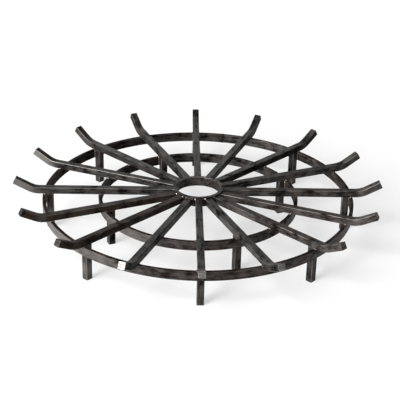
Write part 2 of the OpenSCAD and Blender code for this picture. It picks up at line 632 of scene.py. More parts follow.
def sawn_end(
    place: float,
    toward: int,
    radius: float,
    depth: float,
    steps: int = 5,
    face_rows: Range = (0.35, 0.8),
) -> Array:
    """Rows that close a bar with a square cut whose edge is broken by a small radius.

    The row at angle a of the edge's quarter turn lies radius * (1 - sin a) short of the cut
    and radius * (1 - cos a) in from the bar's side. Two more rows cross the cut's face.

    Args:
        place: distance of the cut along the bar in mm.
        toward: 1 where the cut is the bar's end, -1 where it is its start.
        radius: the edge's radius in mm.
        depth: half of the bar's least width in mm.
        steps: number of rows in the edge.
        face_rows: inset of the face's two rows, as shares of the depth.

    Returns:
        Distance along the bar and inset of each row, in the order along the bar.
    """
    turn = np.linspace(0, np.pi / 2, steps)
    short = place - toward * radius * (1 - np.sin(turn))
    edge = np.stack([short, radius * (1 - np.cos(turn))], axis=1)
    face = np.array([[place, share * depth] for share in face_rows])
    return np.concatenate([edge, face])[::toward]


def wear_map(
    shape: tuple[int, int],
    rub: Array | float = 0.0,
    heat: Array | float = 0.0,
    thin: Array | float = 0.0,
    cast: Array | float = 0.0,
    polish: Array | float = 0.0,
) -> Array:
    """Packs the wear into one array. Each channel runs from 0 to 1.

    Args:
        shape: number of rows and columns, to which each channel is broadcast.
        rub: how far a corner, or the crest of a bead's ripple, is rubbed to bare metal.
        heat: how much a weld's heat reached the point.
        thin: how thin or cracked its skin is.
        cast: how brown the bar is.
        polish: how glossy the skin is: real rubbing, and painted sheen and shade where it is set to make a face look
            lit or shaded.

    Returns:
        Array with the axes row, column, channel.
    """
    channels = (rub, heat, thin, cast, polish)
    return np.stack([np.broadcast_to(channel, shape) for channel in channels], axis=-1)


def placed(name: str, data: bpy.types.ID) -> bpy.types.Object:
    """Puts data into the scene.

    Args:
        name: the new object's name.
        data: its mesh, camera or light.

    Returns:
        The new object.
    """
    made = bpy.data.objects.new(name, data)
    bpy.context.scene.collection.objects.link(made)
    return made


class Skin:
    """Gathers the swept surfaces of one piece and puts them into a mesh."""

    def __init__(self) -> None:
        """Starts with nothing."""
        self._points: list[Array] = []
        self._faces: list[Array] = []
        self._finish: list[Array] = []

    def sweep(
        self,
        rows: Array,
        grain: Array,
        wear: Array,
        finish: Array | None = None,
        loop: bool = False,
    ) -> "Skin":
        """Adds a closed tube of quads: rows along the path by columns round the section.

        A tube that isn't a loop is closed at each end by a fan of triangles to the middle of
        its last row.

        Args:
            rows: points in mm, with the axes row, column, xyz.
            grain: the pattern's coordinates in mm, with the same axes.
            wear: the channels of wear_map, with the axes row, column, channel.
            finish: material number of each row of faces, 0 where it isn't given.
            loop: whether the last row joins the first.

        Returns:
            This skin.
        """
        n, m = rows.shape[:2]
        first = sum(len(block) for block in self._points)
        index = first + np.arange(n * m).reshape(n, m)
        beside = np.roll(index, -1, axis=1)
        ahead = np.roll(index, -1, axis=0)
        quads = np.stack([index, beside, np.roll(ahead, -1, axis=1), ahead], axis=-1)
        quads = quads if loop else quads[:-1]
        number = np.zeros(len(quads), int) if finish is None else finish[: len(quads)]
        points = np.concatenate([rows, grain, wear], axis=-1)
        self._points.append(points.reshape(n * m, -1))
        self._faces.append(quads.reshape(-1, 4))
        self._finish.append(np.repeat(number, m))
        if not loop:
            fans = ((0, index[0], beside[0]), (-1, beside[-1], index[-1]))
            for pole, (end, near, far) in enumerate(fans, start=first + n * m):
                self._points.append(points[end].mean(axis=0)[None])
                self._faces.append(np.stack([np.full(m, pole), far, near], axis=-1))
                self._finish.append(np.full(m, number[end]))
        return self

    def build(self, name: str, slot: Slot, nodes: list[str], finishes: list[Material]) -> None:
        """Makes the piece, dresses it, and puts it in the place of its solids.

        Args:
            name: the piece's name.
            slot: the record's slot that it takes its finish from.
            nodes: the CAD nodes that it stands for.
            finishes: its materials, in the order of the finish numbers.
        """
        mesh = bpy.data.meshes.new(name)
        points = np.concatenate(self._points)
        faces = [face for block in self._faces for face in block.tolist()]
        mesh.from_pydata((points[:, :3] * METRES).tolist(), [], faces)
        for title, kind, key, columns in (
            (GRAIN, "FLOAT_VECTOR", "vector", slice(3, 6)),
            (WEAR, "FLOAT_COLOR", "color", slice(6, 10)),
            (POLISH, "FLOAT", "value", slice(10, 11)),
        ):
            values = points[:, columns].astype(np.float32).ravel()
            mesh.attributes.new(title, kind, "POINT").data.foreach_set(key, values)
        for material in finishes:
            mesh.materials.append(material)
        numbers = np.concatenate(self._finish).astype(np.int32)
        mesh.polygons.foreach_set("material_index", numbers)
        mesh.shade_smooth()
        mesh.update()
        piece = placed(name, mesh)
        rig.ride(piece, "root")
        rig.slot(piece, slot.value)
        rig.replaces(piece, *nodes)
        triangles = sum(len(block) * (block.shape[1] - 2) for block in self._faces)
        log.info("%s: %d triangles, stands for %s", name, triangles, ", ".join(nodes))


# ---------------------------------------------------------------- the grate


@dataclass(frozen=True)
class Layout:
    """Sizes that the grate's parts share, in millimetres and degrees."""

    spokes: int = 16
    front: float = 270.0
    deck: float = 101.6
    bar: float = 19.05
    bar_corner: float = 2.1
    hub: float = 69.0
    strap_height: float = 25.4
    strap_thickness: float = 9.525
    strap_corner: float = 0.9
    hoops: dict[HoopName, float] = field(
        default_factory=lambda: {HoopName.OUTER: 427.0, HoopName.INNER: 274.5}
    )

    def heading(self, spoke: float) -> float:
        """Direction of a spoke in radians, where spoke 1 points to the front."""
        return math.radians(self.front + (spoke - 1) * 360 / self.spokes)

    def bar_section(self) -> RolledSection:
        """Section of the square bar."""
        return RolledSection(self.bar, self.bar, self.bar_corner)

    def strap_section(self) -> RolledSection:
        """Section of the flat bar on edge: its height first, then its thickness."""
        return RolledSection(self.strap_height, self.strap_thickness, self.strap_corner)

    def leg_spokes(self, hoop: HoopName) -> list[int]:
        """Spokes that have a leg of that hoop under them, in the legs' order."""
        first, step = (1, 2) if hoop is HoopName.OUTER else (2, 4)
        return list(range(first, self.spokes + 1, step))


@dataclass
class SquareBars:
    """Lengths of square bar, sawn off square, each a piece of its own."""

    layout: Layout
    skin: Material
    cut: Material

    def _dress(self, node: str, heading: float, inset: Array, *surface: Array) -> None:
        """Turns one bar to its place and puts it in for its solid.

        Args:
            node: the solid's node.
            heading: direction of the bar's spoke in radians.
            inset: inset of each row, which has one only in a sawn end.
            surface: points, pattern coordinates and wear.
        """
        rows, grain, wear = surface
        finish = (inset > 0).astype(int)
        finish[:-1] |= finish[1:]
        skin = Skin().sweep(turned(rows, heading), grain, wear, finish)
        skin.build(f"{node}_rolled_bar", Slot.BAR, [node], [self.skin, self.cut])


@dataclass(frozen=True)
class AgeingAndSheen:
    """How one bar has aged. Each value runs from 0, not at all, to 1.

    They are how brown its skin is; how far its upturned end is worn, which is real wear and
    painted light that pales the outer end; how glossy its top and its sides are, which is painted
    sheen and painted shade set per bar for how the light falls on them; and how far its edges are
    rubbed to pale metal, which is real wear and painted highlight lines along them.
    """

    brown: float
    end: float
    top: float
    side: float
    edge: float


@dataclass
class Spokes(SquareBars):
    """The sixteen spokes: square bar, turned up at its outer end."""

    bend_start: float = 434.0  # mm from the grate's axis
    bend_radius: float = 65.0
    bend_angle: float = 28.4  # degrees
    bend_rows: int = 18
    tip: float = 508.0
    edge: float = 0.45
    swell: float = 0.018
    uneven: float = 0.11
    row_step: float = 4.0
    seed: int = 40
    pattern_step: float = 517.0  # mm from one bar's pattern to the next one's
    before_bend: float = 1.0  # mm, the least from the last straight row to the bend
    past_bend: float = 2.0  # mm from the bend to the first row past it
    before_cut: float = 0.2  # mm, the least from the last of those rows to the sawn end
    cope_reach: float = 2.0  # mm over which the cope of the root fades
    root_heat: float = 12.0  # mm that the welds' heat reaches from the hub
    hoop_heat: float = 13.0  # mm that it reaches from a hoop
    hoop_share: float = 0.8  # of the root's heat, at a hoop
    heat_sides: Range = (0.55, 0.45)  # at mid height, and how much more on the underside
    end_blend: float = 12.0  # mm over which the end's wear and painted light set in
    strained: float = 0.9  # reach of the strain from the bend's middle, by the bend's length
    cracked: float = 0.4  # how far the bend cracks the skin
    shielded: float = 0.8  # share of that wear and painted light which the top is spared, a painted shade that keeps the tops dark
    ageing_and_sheen: tuple[AgeingAndSheen, ...] = tuple(
        AgeingAndSheen(*values)
        for values in (
            # brown, end, top, side and edge of each spoke; top and side are painted sheen and shade, end and edge
            # partly painted light
            (0.10, 0.20, 0.45, 0.20, 0.40),
            (0.06, 0.20, 0.48, 0.60, 0.40),
            (0.30, 0.30, 0.48, 0.95, 0.50),
            (0.42, 0.20, 0.42, 0.80, 0.50),
            (0.14, 0.30, 0.42, 0.45, 0.60),
            (0.06, 0.20, 0.52, 0.35, 0.60),
            (0.10, 0.10, 0.62, 0.00, 0.50),
            (0.04, 0.00, 0.62, 0.10, 0.40),
            (0.08, 0.00, 0.54, 0.20, 0.30),
            (0.06, 0.10, 0.60, 0.10, 0.30),
            (0.08, 0.40, 0.58, 0.10, 0.50),
            (0.14, 0.62, 0.40, 0.65, 1.00),
            (0.12, 0.60, 0.42, 0.40, 0.80),
            (0.45, 0.05, 0.36, 0.10, 0.75),
            (0.42, 0.05, 0.30, 0.12, 0.60),
            (0.10, 0.10, 0.50, 0.25, 0.40),
        )
    )

    def _stations(self) -> tuple[Array, Array, float, float]:
        """Places the rows of a spoke.

        Returns:
            Distance of each row along the bar's axis, its inset, and where the bend starts
            and ends along the bar.
        """
        half = self.layout.bar / 2
        angle = math.radians(self.bend_angle)
        start = self.bend_start - self.layout.hub
        end = start + self.bend_radius * angle
        turn_x = self.bend_start + self.bend_radius * math.sin(angle)
        tail = (self.tip - turn_x - half * math.sin(angle)) / math.cos(angle)
        length = end + tail
        straight = np.arange(0, start - self.before_bend, self.row_step)
        bend = np.linspace(start, end, self.bend_rows)
        stop = length - self.edge - self.before_cut
        last = np.arange(end + self.past_bend, stop, self.row_step)
        rows = np.concatenate([straight, bend, last])
        cut = sawn_end(length, 1, self.edge, half)
        along, inset = np.concatenate([np.stack([rows, 0 * rows], axis=1), cut]).T
        return along, inset, start, end

    def _spoke(self, number: int) -> None:
        """Builds one spoke, swept along +X.

        The slope is (s - start) / radius, kept between 0 and the bend's angle. The axis is at
        x = hub + min(s, start) + radius * sin(slope) + tail * cos(slope) and rises by
        radius * (1 - cos(slope)) + tail * sin(slope), where tail is how far s is past the
        bend. In the bend the section is wider towards its inner side and narrower outside.
        The first row is coped to the hub ring: x follows the square root of hub^2 - y^2.

        Args:
            number: the spoke's number.
        """
        size, half, bend = self.layout, self.layout.bar / 2, self.bend_radius
        outline = size.bar_section().outline()
        s, inset, start, end = self._stations()
        slope = np.clip((s - start) / bend, 0, math.radians(self.bend_angle))
        tail = np.maximum(s - end, 0)
        lean, lift = np.sin(slope), np.cos(slope)
        x = size.hub + np.minimum(s, start) + bend * lean + tail * lift
        z = size.deck + half + bend * (1 - lift) + tail * lean
        strain = glow(s - (start + end) / 2, (end - start) * self.strained)
        section = outline.rolled(s, self.uneven, self.seed + number, inset, half)
        section[..., 0] *= 1 + self.swell * strain[:, None] * section[..., 1] / half
        p, q = section[..., 0], section[..., 1]
        cope = (np.sqrt(size.hub**2 - p**2) - size.hub) * np.exp(-s / self.cope_reach)[:, None]
        x = x[:, None] - lean[:, None] * q + cope
        rows = np.stack([x, p, z[:, None] + lift[:, None] * q], axis=-1)
        heat = glow(s, self.root_heat)
        for hoop in size.hoops.values():
            away = size.hub + s - hoop + size.strap_thickness / 2
            heat = heat + self.hoop_share * glow(away, self.hoop_heat)
        middle, below = self.heat_sides
        heat = heat[:, None] * (middle - below * outline.points[:, 1] / half)
        outward = 1 / (1 + np.exp((start - s) / self.end_blend))
        aged = self.ageing_and_sheen[number - 1]
        top = np.maximum(outline.normals[:, 1], 0) ** 2
        # Painted light as well as wear: flaked, paler skin towards the outer end stands in for the brighter light and
        # reflections there; the top is spared most of it and stays dark, a painted shade.
        thin = np.maximum(strain * self.cracked, outward * aged.end)
        thin = thin[:, None] * (1 - self.shielded * top)
        # Painted sheen and painted shade: each bar's top and sides get the gloss that makes them look as lit or as
        # shaded as the light on them.
        polish = aged.top * top + aged.side * (1 - top)
        # Partly real rubbed corners and partly painted highlight lines: each bar's edge value sets how pale its
        # corners are.
        rub = outline.rub * (aged.edge + aged.end * outward)[:, None]
        wear = wear_map(p.shape, rub, heat, thin, aged.brown, polish)
        grain = grain_of(s, section, self.pattern_step * number)
        self._dress(f"spoke_{number:02d}", size.heading(number), inset, rows, grain, wear)

    def build(self) -> None:
        """Builds all the spokes."""
        for number in range(1, self.layout.spokes + 1):
            self._spoke(number)


@dataclass
class Legs(SquareBars):
    """The legs inside one hoop, each with its top under a spoke."""

    hoop: HoopName
    edge: float = 0.5
    uneven: float = 0.1
    row_step: float = 4.0
    end_gap: float = 1.0  # mm, the least from a row to an end
    contact: float = 0.02
    seed: int = 100
    hoop_seeds: int = 20  # from the seeds of one hoop's legs to the other's
    pattern_step: float = 731.0  # mm from one bar's pattern to the next one's
    heat_reach: float = 20.0  # mm below the spoke
    heat_faces: Range = (0.7, 0.3)  # on the sides, and how much more on the outer face
    cast: Range = (0.1, 0.05)  # of every third leg, and each step up to the two after it
    polish: float = 0.3
    # Painted light as well as wear: paler, flaked skin low on the legs under these spokes stands in for the light from
    # the left that reaches under the hoop.
    worn_spokes: tuple[int, ...] = (13, 15)
    worn_and_lit: float = 0.55
    worn_lit_height: float = 30.0  # mm above the floor
    worn_lit_reach: float = 40.0  # mm up and down from there

    def _leg(self, number: int, spoke: int) -> None:
        """Builds one leg, swept up +Z where a spoke along +X would need it.

        Its outer face keeps to x = sqrt(face^2 - y^2), the hoop's inner face.

        Args:
            number: the leg's number.
            spoke: number of the spoke above it.
        """
        size, half = self.layout, self.layout.bar / 2
        outline = size.bar_section().outline()
        face = size.hoops[self.hoop] - size.strap_thickness - self.contact
        foot = sawn_end(0, -1, self.edge, half)
        rows = np.arange(self.edge + self.end_gap, size.deck - self.end_gap, self.row_step)
        top = sawn_end(size.deck - self.contact, 1, self.edge, half)
        z, inset = np.concatenate([foot, np.stack([rows, 0 * rows], axis=1), top]).T
        seed = self.seed + self.hoop_seeds * size.leg_spokes(self.hoop)[0] + number
        section = outline.rolled(z, self.uneven, seed, inset, half)
        p, q = section[..., 0], section[..., 1]
        x = np.minimum(face - half + p, np.sqrt(face**2 - q**2))
        rows = np.stack([x, q, np.broadcast_to(z[:, None], p.shape)], axis=-1)
        beside, outside = self.heat_faces
        heat = glow(size.deck - z, self.heat_reach)[:, None]
        heat = heat * (beside + outside * outline.normals[:, 0])
        # Painted light: the paler patch low on the legs under those spokes.
        worn_and_lit = self.worn_and_lit * (spoke in self.worn_spokes)
        thin = (worn_and_lit * glow(z - self.worn_lit_height, self.worn_lit_reach))[:, None]
        cast = self.cast[0] + self.cast[1] * (number % 3)
        wear = wear_map(p.shape, outline.rub, heat, thin, cast, self.polish)
        grain = grain_of(z, section[..., ::-1], self.pattern_step * seed)
        node = f"{self.hoop.value}_leg_{number}"
        self._dress(node, size.heading(spoke), inset, rows, grain, wear)

    def build(self) -> None:
        """Builds the legs of the hoop."""
        for number, spoke in enumerate(self.layout.leg_spokes(self.hoop), start=1):
            self._leg(number, spoke)


@dataclass
class HubRing:
    """The ring that all the spokes butt against: a slice of thick tube with broken edges."""

    layout: Layout
    skin: Material
    wall: float = 9.0
    bottom: float = 98.6
    top: float = 125.05
    corner: float = 0.8
    uneven: float = 0.08
    around: int = 288
    heat: Range = (0.1, 0.4)  # everywhere, and how much more at a spoke's weld
    heat_reach: float = 9.0  # mm
    rim_rub: Range = (1.0, 0.25)  # of the corners inside and outside
    cast: float = 0.12
    polish: float = 0.3
    rim_polish: float = 0.6
    rim_uneven: float = 0.2
    sheen_side: float = 0.6  # radians, counter-clockwise from the right, where the rim's painted sheen is most

    def build(self) -> None:
        """Builds the ring.

        The walls lie back from true by uneven * (1 - (sin(3 t + 1) + sin(7 t)) / 2) at the
        angle t.
        """
        size = self.layout
        outline = RolledSection(self.top - self.bottom, self.wall, self.corner).outline()
        angle = np.linspace(0, TURN, self.around, endpoint=False)
        lobes = (np.sin(3 * angle + 1) + np.sin(7 * angle)) / 2 - 1
        height = self.uneven * lobes[:, None] * outline.give
        section = outline.points + outline.normals * height[..., None]
        rows = ring(angle, size.hub - self.wall / 2, (self.bottom + self.top) / 2, section)
        pitch = TURN / size.spokes
        away = np.abs((angle - size.heading(1) + pitch / 2) % pitch - pitch / 2) * size.hub
        heat = (self.heat[0] + self.heat[1] * glow(away, self.heat_reach))[:, None]
        rim = outline.rub * np.where(outline.normals[:, 1] < 0, *self.rim_rub)
        # Painted sheen: the rim is glossier towards the right and the back and duller towards the left and the front,
        # so it looks lit as the light falls.
        rim_sheen = self.rim_polish + self.rim_uneven * np.cos(angle - self.sheen_side)[:, None]
        polish = np.where(outline.normals[:, 0] > 0, rim_sheen, self.polish)
        wear = wear_map(height.shape, rim, heat, cast=self.cast, polish=polish)
        skin = Skin().sweep(rows, rows, wear, loop=True)
        skin.build("hub_ring_tube", Slot.STRAP, ["hub_ring"], [self.skin])


@dataclass
class Hoop:
    """A hoop of flat bar on edge, rolled to a circle, with the weld that closes it."""

    layout: Layout
    name: HoopName
    seam_bay: int
    worn_lit_bay: float
    skin: Material
    bead: Material
    seam_gap: float = 3.0
    cap: float = 9.0
    proud: float = 0.9
    sunk: float = 0.12
    seam_rows: int = 19
    ripple_pitch: float = 1.7
    ripple_depth: float = 0.22
    ripple_arch: float = 1.6
    crest: float = 0.3
    uneven: float = 0.1
    row_step: float = 5.0
    seed: int = 70
    pattern_start: float = 11000.0  # mm, away from the patterns of the bars
    heat_reach: float = 15.0  # mm from the middle of a crossing
    edge: float = 0.5
    # Painted light as well as wear: round the worn bay the outside is flaked paler and glossier, standing in for the
    # light from the left.
    worn_and_lit: float = 0.52
    worn_bays: float = 1.6  # reach of each of the three marks, in bays
    sheen_bay: float = 7.4  # where the inside is glossiest, a painted sheen that makes it look lit
    brown_bay: float = 16.5
    outside_polish: Range = (0.35, 0.5)  # everywhere, and how much more at the worn, lit bay, a painted sheen
    inside_polish: float = 0.9
    cast: Range = (0.1, 0.25)  # everywhere, and how much more at the brown bay

    @property
    def _middle(self) -> float:
        """Radius of the bar's middle in mm."""
        return self.layout.hoops[self.name] - self.layout.strap_thickness / 2

    def _swept(self, along: Array, section: Array, wear: Array, offset: float = 0.0) -> Skin:
        """Sweeps sections round the hoop, where the angle from the seam is s / radius.

        Args:
            along: distance s from the seam in mm, one a row.
            section: points (p, q), with the axes row, column, pq.
            wear: the channels of wear_map, with the axes row, column, channel.
            offset: start of the pattern in mm.

        Returns:
            The skin.
        """
        size = self.layout
        angle = size.heading(self.seam_bay + 0.5) + along / self._middle
        rows = ring(angle, self._middle, size.deck - size.strap_height / 2, section)
        return Skin().sweep(rows, grain_of(along, section, offset), wear)

    def _bar(self) -> None:
        """Sweeps the bar from one side of the seam round to the other."""
        size = self.layout
        outline = size.strap_section().outline()
        start, end = self.seam_gap / 2, TURN * self._middle - self.seam_gap / 2
        along = np.linspace(start, end, round((end - start) / self.row_step))
        section = outline.rolled(along, self.uneven, self.seed + self.seam_bay)
        pitch = TURN * self._middle / size.spokes
        away = np.abs(along % pitch - pitch / 2)
        top = 0.5 + 0.5 * outline.points[:, 0] / (size.strap_height / 2)
        heat = glow(away, self.heat_reach)[:, None] * top
        marked = np.array([self.worn_lit_bay, self.sheen_bay, self.brown_bay])
        bays = along[:, None] / pitch + self.seam_bay - marked
        bays = (bays + size.spokes / 2) % size.spokes - size.spokes / 2
        worn_and_lit, painted_sheen, brown = glow(bays, self.worn_bays).T[..., None]
        outside, inside = (np.maximum(side * outline.normals[:, 1], 0) for side in (1, -1))
        # Painted sheen: more gloss outside at the worn bay and inside at the sheen bay, so those faces look lit.
        polish = (self.outside_polish[0] + self.outside_polish[1] * worn_and_lit) * outside
        polish = polish + self.inside_polish * painted_sheen * inside
        cast = self.cast[0] + self.cast[1] * brown
        # Painted light: the paler flakes outside at the worn bay.
        rub, thin = outline.rub * self.edge, self.worn_and_lit * worn_and_lit * outside
        wear = wear_map(heat.shape, rub, heat, thin, cast, polish)
        node = f"{self.name.value}_hoop"
        skin = self._swept(along, section, wear, self.pattern_start)
        skin.build(f"{node}_rolled_strap", Slot.STRAP, [node], [self.skin])

    def _seam(self) -> None:
        """Sweeps the seam weld, a crowned band round the bar's section.

        At distance s from the seam the section is grown by proud * sqrt(1 - (2 s / cap)^2),
        less what sinks the band's borders into the bar. Arched ripples run round it.
        """
        size = self.layout
        outline = size.strap_section().outline()
        share = np.linspace(-1, 1, self.seam_rows)
        lap = outline.around * 2 * (size.strap_height + size.strap_thickness)
        arched = lap + self.ripple_arch * share[:, None] ** 2
        ripple = 0.5 + 0.5 * np.sin(TURN * arched / self.ripple_pitch)
        crown = np.sqrt(np.maximum(1 - share**2, 0))[:, None]
        height = crown * (self.proud - self.ripple_depth * (1 - ripple)) - self.sunk
        section = outline.points + outline.normals * height[..., None]
        wear = wear_map(height.shape, rub=self.crest * ripple * crown)
        node = f"{self.name.value}_hoop_seam"
        skin = self._swept(share * self.cap / 2, section, wear)
        skin.build(f"{node}_bead", Slot.WELD, [node], [self.bead])

    def build(self) -> None:
        """Builds the hoop and its seam."""
        self._bar()
        self._seam()


@dataclass(frozen=True)
class Run:
    """One run of weld: its leg length in mm, its spoke's heading in radians, and its seed."""

    leg: float
    heading: float
    seed: int


@dataclass
class FilletWelds:
    """The fillet beads: round the spokes' roots, at the crossings, and on the legs."""

    layout: Layout
    bead: Material
    root_leg: float = 3.3  # mm, a bead's size on each of its two surfaces
    crossing_leg: float = 3.4
    leg_leg: float = 3.6
    root_seed: int = 300
    crossing_seed: int = 400
    leg_seed: int = 500
    seed_step: int = 4  # from the seeds of one spoke's beads to the next one's
    sink: float = 0.15
    ripple_pitch: float = 1.7
    ripple_depth: float = 0.09
    ripple_lag: float = 0.9
    row_step: float = 0.45
    least_rows: int = 4
    face_columns: int = 11
    bulge: float = 0.4
    bluntness: int = 5
    end_square: float = 0.03  # least square of the taper, which leaves a stub at each end
    wander: float = 0.05  # share of the leg by which a bead is thicker and thinner
    wander_steps: Range = (1.5, 3)  # mm of bead for a radian of that
    phases: float = 6.0  # radians, about a turn
    pattern_starts: float = 500.0  # mm
    root_rows: int = 110
    root_low: float = -0.2  # least rise of the outline's normal where a root has its bead
    root_glints: Range = (0.25, 2.2)  # crest brightness on the flats, and how much more round the corners, where it is partly a painted glint

    def _bead(
        self,
        skin: Skin,
        line: Array,
        first: Array,
        second: Array,
        run: Run,
        shine: Array | float = 1.0,
    ) -> None:
        """Adds one bead along a corner line.

        At angle a, from 0 on the first surface to 90 degrees on the second, the bead's skin
        is at line + r * (cos a * first + sin a * second). r is the leg, times
        (cos a + sin a)^-bulge for a slightly bulging face, times a blunt taper of
        (1 - |u|^bluntness)^0.5 towards both ends, where u runs from -1 to 1, times a slow
        wander, times a ripple of crescents that lag in the middle of the face.

        Args:
            skin: gets the bead.
            line: points of the corner line in mm.
            first: direction along the first surface, away from the corner, a row a point.
            second: the same on the second surface; first x second runs along the line.
            run: the bead's leg, heading and seed.
            shine: how bright its crests are, one a point.
        """
        draw = np.random.default_rng(run.seed)
        step = np.linalg.norm(np.diff(line, axis=0), axis=1)
        along = np.concatenate([[0], np.cumsum(step)])[:, None]
        u = np.linspace(-1, 1, len(line))[:, None]
        a = np.linspace(0, np.pi / 2, self.face_columns)
        behind = along - self.ripple_lag * np.sin(2 * a)
        phase = draw.uniform(0, self.phases)
        ripple = 0.5 + 0.5 * np.sin(TURN * behind / self.ripple_pitch + phase)
        slow = along / draw.uniform(*self.wander_steps)
        wander = 1 + self.wander * np.sin(slow + draw.uniform(0, self.phases))
        taper = np.sqrt(np.maximum(1 - np.abs(u) ** self.bluntness, self.end_square))
        r = run.leg * (np.cos(a) + np.sin(a)) ** -self.bulge * taper
        r = r * wander * (1 - self.ripple_depth * (1 - ripple) * np.sin(2 * a))
        base = line - self.sink * (first + second)
        out = np.cos(a)[:, None] * first[:, None] + np.sin(a)[:, None] * second[:, None]
        rows = np.concatenate([base[:, None] + r[..., None] * out, base[:, None]], axis=1)
        height = np.concatenate([ripple * np.sin(2 * a), 0 * along], axis=1)
        height *= np.broadcast_to(shine, len(line))[:, None]
        grain = rows + np.array([draw.uniform(0, self.pattern_starts), 0, 0])
        skin.sweep(turned(rows, run.heading), grain, wear_map(height.shape, rub=height))

    def _straight(
        self, skin: Skin, ends: tuple[Place, Place], first: Place, second: Place, run: Run
    ) -> None:
        """Adds a bead along a straight corner, with rows that crowd a little at its ends.

        Args:
            skin: gets the bead.
            ends: its two ends as (x, y, z) in mm.
            first: direction along the first surface.
            second: direction along the second surface.
            run: the bead's leg, heading and seed.
        """
        start, end = np.array(ends, float)
        count = self.least_rows + round(np.linalg.norm(end - start) / self.row_step)
        share = 0.5 - 0.5 * np.cos(np.linspace(0, np.pi, count))[:, None]
        share = 0.5 * share + 0.5 * np.linspace(0, 1, count)[:, None]
        sides = [np.broadcast_to(np.array(side, float), (count, 3)) for side in (first, second)]
        self._bead(skin, start + (end - start) * share, *sides, run)

    def _roots(self) -> None:
        """Builds the beads round the spokes' roots.

        A root's corner line follows the spoke's outline up one side, over the top and down
        the other, on the hub ring's face: x is the square root of hub^2 - y^2.
        """
        size = self.layout
        outline = size.bar_section().outline()
        columns = np.roll(np.arange(len(outline.points)), size.bar_section().flat_steps)
        columns = columns[outline.normals[columns, 1] > self.root_low]
        route, out = outline.points[columns], outline.normals[columns]
        lap = np.concatenate([[0], np.cumsum(np.linalg.norm(np.diff(route, axis=0), axis=1))])
        even = np.linspace(0, lap[-1], self.root_rows)
        y, z, ny, nz = (np.interp(even, lap, v) for v in (*route.T, *out.T))
        length = np.hypot(ny, nz)
        line = np.stack([np.sqrt(size.hub**2 - y**2), y, z + size.deck + size.bar / 2], axis=1)
        beside = np.stack([0 * ny, ny / length, nz / length], axis=1)
        ahead = np.broadcast_to(np.array([1.0, 0, 0]), beside.shape)
        # Partly real pale crests, partly painted glints: a root bead's crests are paler round the bar's corners.
        flat, round_corner = self.root_glints
        shine = flat + round_corner * np.abs(beside[:, 1] * beside[:, 2])
        skin = Skin()
        for number in range(1, size.spokes + 1):
            run = Run(self.root_leg, size.heading(number), self.root_seed + number)
            self._bead(skin, line, ahead, beside, run, shine)
        skin.build("hub_root_beads", Slot.WELD, ["hub_welds"], [self.bead])

    def _crossings(self, hoop: HoopName) -> None:
        """Builds the beads where the spokes cross a hoop.

        Args:
            hoop: the hoop.
        """
        size = self.layout
        skin = Skin()
        outer = size.hoops[hoop] - size.strap_corner
        inner = outer - size.strap_thickness + 2 * size.strap_corner
        for number in range(1, size.spokes + 1):
            for side in Side:
                y = side.value * size.bar / 2
                ends = ((inner, y, size.deck), (outer, y, size.deck))
                pair = ((0, side.value, 0), (0, 0, 1))[:: side.value]
                seed = self.crossing_seed + self.seed_step * number + side.value
                run = Run(self.crossing_leg, size.heading(number), seed)
                self._straight(skin, ends, *pair, run)
        node = f"{hoop.value}_crossing"
        skin.build(f"{node}_beads", Slot.WELD, [f"{node}_welds"], [self.bead])

    def _on_legs(self, hoop: HoopName) -> None:
        """Builds each leg's beads: one down each side against the hoop, one under the spoke.

        Args:
            hoop: the hoop whose legs they hold.
        """
        size = self.layout
        skin = Skin()
        face = size.hoops[hoop] - size.strap_thickness
        low, high = size.deck - size.strap_height, size.deck
        half, back = size.bar / 2 - size.bar_corner, (-1, 0, 0)
        for spoke in size.leg_spokes(hoop):
            heading, seed = size.heading(spoke), self.leg_seed + self.seed_step * spoke
            for side in Side:
                y = side.value * size.bar / 2
                ends = ((face, y, low), (face, y, high))
                pair = ((0, side.value, 0), back)[:: side.value]
                self._straight(skin, ends, *pair, Run(self.leg_leg, heading, seed + side.value))
            ends = ((face - size.bar, -half, high), (face - size.bar, half, high))
            self._straight(skin, ends, (0, 0, -1), back, Run(self.leg_leg, heading, seed + 2))
        node = f"{hoop.value}_leg"
        skin.build(f"{node}_beads", Slot.WELD, [f"{node}_welds"], [self.bead])

    def build(self) -> None:
        """Builds all the fillet beads."""
        self._roots()
        for hoop in HoopName:
            self._crossings(hoop)
            self._on_legs(hoop)


# ---------------------------------------------------------------- studio


@dataclass(frozen=True)
class SoftLamp:
    """A wide soft lamp so far away that it lights the grate and the floor evenly."""

    name: str
    azimuth: float
    elevation: float
    spread: float
    level: float

    def build(self) -> None:
        """Places the lamp.

        Its irradiance is pi times the level, at which white that faces it renders at the
        level. The spread is the angle that it fills, in degrees.
        """
        away = direction(self.azimuth, self.elevation)
        data = bpy.data.lights.new(self.name, "SUN")
        data.angle = math.radians(self.spread)
        data.energy = self.level * math.pi
        placed(self.name, data).matrix_world = looking_along(away, away)


def direction(azimuth: float, elevation: float) -> Array:
    """Unit vector from the grate towards a lamp or the camera.

    Args:
        azimuth: degrees from the front, positive to the right.
        elevation: degrees above the floor.

    Returns:
        (sin az cos el, -cos az cos el, sin el).
    """
    az, el = math.radians(azimuth), math.radians(elevation)
    return np.array([math.sin(az) * math.cos(el), -math.cos(az) * math.cos(el), math.sin(el)])


def looking_along(place: Array, back: Array, roll: float = 0.0) -> "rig.Matrix":
    """Works out where a camera or lamp stands.

    Args:
        place: its place in metres.
        back: direction from what it looks at to itself.
        roll: turn about its own axis in radians.

    Returns:
        Its matrix: right, up and back as columns, then its place.
    """
    right = np.cross(-back, [0, 0, 1])
    right = right / np.linalg.norm(right)
    up = np.cross(right, -back)
    c, s = math.cos(roll), math.sin(roll)
    columns = np.stack([c * right + s * up, c * up - s * right, back, place], axis=1)
    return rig.Matrix(np.vstack([columns, [0, 0, 0, 1]]).tolist())


